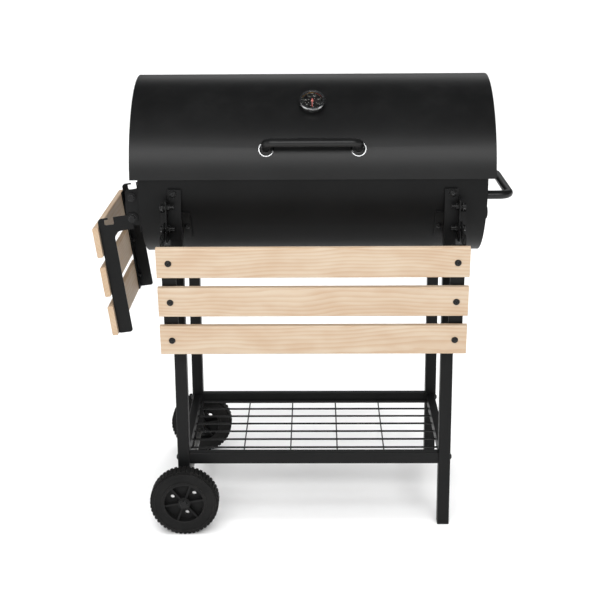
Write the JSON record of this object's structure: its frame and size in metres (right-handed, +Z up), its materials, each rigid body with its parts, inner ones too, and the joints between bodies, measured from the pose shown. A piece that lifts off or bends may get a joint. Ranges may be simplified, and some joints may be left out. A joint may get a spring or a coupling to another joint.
{
  "type": "barrel charcoal grill",
  "caption": "Barrel charcoal grill on a wheeled cart, with a hinged lid, lid thermometer, wire shelf and folding slatted tables at the front and the side.",
  "frame": {"origin": "middle of the overall box, on the ground", "axes": "+X along the drum towards the side handle, -Y to the front, where the lid handle is, +Z up"},
  "size_m": [0.8598, 0.5078, 0.945],
  "materials": {
    "black_steel": "satin black powder coat",
    "grate_steel": "black enamelled rod",
    "bolt_black": "blackened fasteners",
    "bright_steel": "zinc-plated steel",
    "chrome_trim": "polished chrome",
    "pine": "sanded natural pine",
    "tyre_black": "moulded tread, dull",
    "plastic_black": "fine-grained black plastic",
    "dial_black": "printed dial",
    "needle_red": "red enamel",
    "lens_glass": "clear window"
  },
  "bodies": {
    "cart": {"bowl_trough": "black_steel", "bowl_end_left": "black_steel", "bowl_end_right": "black_steel", "grate_ledges": "grate_steel", "charcoal_grate": "grate_steel", "charcoal_supports": "grate_steel", "leg_front_left": "black_steel", "leg_rear_left": "black_steel", "leg_front_right": "black_steel", "leg_rear_right": "black_steel", "foot_caps": "plastic_black", "leg_saddles": "black_steel", "frame_screws": "bolt_black", "shelf_rail_front": "black_steel", "shelf_rail_rear": "black_steel", "shelf_side_rails": "black_steel", "shelf_wire_grid": "grate_steel", "rail_bolts": "bolt_black", "axle": "bright_steel", "axle_spacers": "plastic_black", "axle_nuts": "bolt_black", "side_handle": "black_steel", "side_handle_bolts": "bolt_black", "front_table_brackets": "black_steel", "side_table_brackets": "black_steel", "table_bolts": "bolt_black", "hinge_lower_leaves": "black_steel", "hinge_pins": "bolt_black", "damper_pin": "bolt_black"},
    "lid": {"lid_shell": "black_steel", "lid_end_left": "black_steel", "lid_end_right": "black_steel", "lid_handle": "black_steel", "handle_washers": "chrome_trim", "lid_screws": "bolt_black", "hinge_upper_leaves": "black_steel", "thermo_case": "chrome_trim", "thermo_bezel": "chrome_trim", "thermo_dial": "dial_black", "thermo_lens": "lens_glass", "thermo_stem": "bright_steel"},
    "needle": {"thermo_needle": "needle_red"},
    "damper": {"damper_disc": "black_steel", "damper_knob": "plastic_black"},
    "front_table": {"front_slat_upper": "pine", "front_slat_middle": "pine", "front_slat_lower": "pine", "front_arms": "black_steel", "front_slat_bolts": "bolt_black"},
    "side_table": {"side_slat_upper": "pine", "side_slat_middle": "pine", "side_slat_lower": "pine", "side_arms": "black_steel", "side_slat_bolts": "bolt_black"},
    "front_wheel": {"front_tyre": "tyre_black", "front_hub": "plastic_black"},
    "rear_wheel": {"rear_tyre": "tyre_black", "rear_hub": "plastic_black"},
    "grate_left": {"cooking_grate_left": "grate_steel"},
    "grate_right": {"cooking_grate_right": "grate_steel"}
  },
  "joints": [
    {"name": "lid_hinge", "type": "hinge", "parent": "cart", "child": "lid", "pos_m": [0.01595, 0.22695, 0.765], "axis": [-1, 0, 0], "range_deg": [0, 95]},
    {"name": "thermometer_needle", "type": "hinge", "parent": "lid", "child": "needle", "pos_m": [0.01595, -0.0899, 0.90102], "axis": [0, 0.6428, -0.766], "range_deg": [0, 300]},
    {"name": "air_damper", "type": "hinge", "parent": "cart", "child": "damper", "pos_m": [0.36395, 0.02295, 0.65], "axis": [1, 0, 0], "range_deg": [0, 60]},
    {"name": "front_table_fold", "type": "hinge", "parent": "cart", "child": "front_table", "pos_m": [0.01595, -0.17305, 0.667], "axis": [-1, 0, 0], "range_deg": [0, 98]},
    {"name": "side_table_fold", "type": "hinge", "parent": "cart", "child": "side_table", "pos_m": [-0.34905, 0.03095, 0.677], "axis": [0, 1, 0], "range_deg": [0, 98]},
    {"name": "front_wheel_spin", "type": "hinge", "parent": "cart", "child": "front_wheel", "pos_m": [-0.25705, -0.16905, 0.0722], "axis": [0, 1, 0], "continuous": true},
    {"name": "rear_wheel_spin", "type": "hinge", "parent": "cart", "child": "rear_wheel", "pos_m": [-0.25705, 0.23095, 0.0722], "axis": [0, 1, 0], "continuous": true},
    {"name": "left_grate_lift", "type": "slide", "parent": "cart", "child": "grate_left", "axis": [0, 0, 1], "range_m": [0, 0.035]},
    {"name": "right_grate_lift", "type": "slide", "parent": "cart", "child": "grate_right", "axis": [0, 0, 1], "range_m": [0, 0.035]}
  ]
}
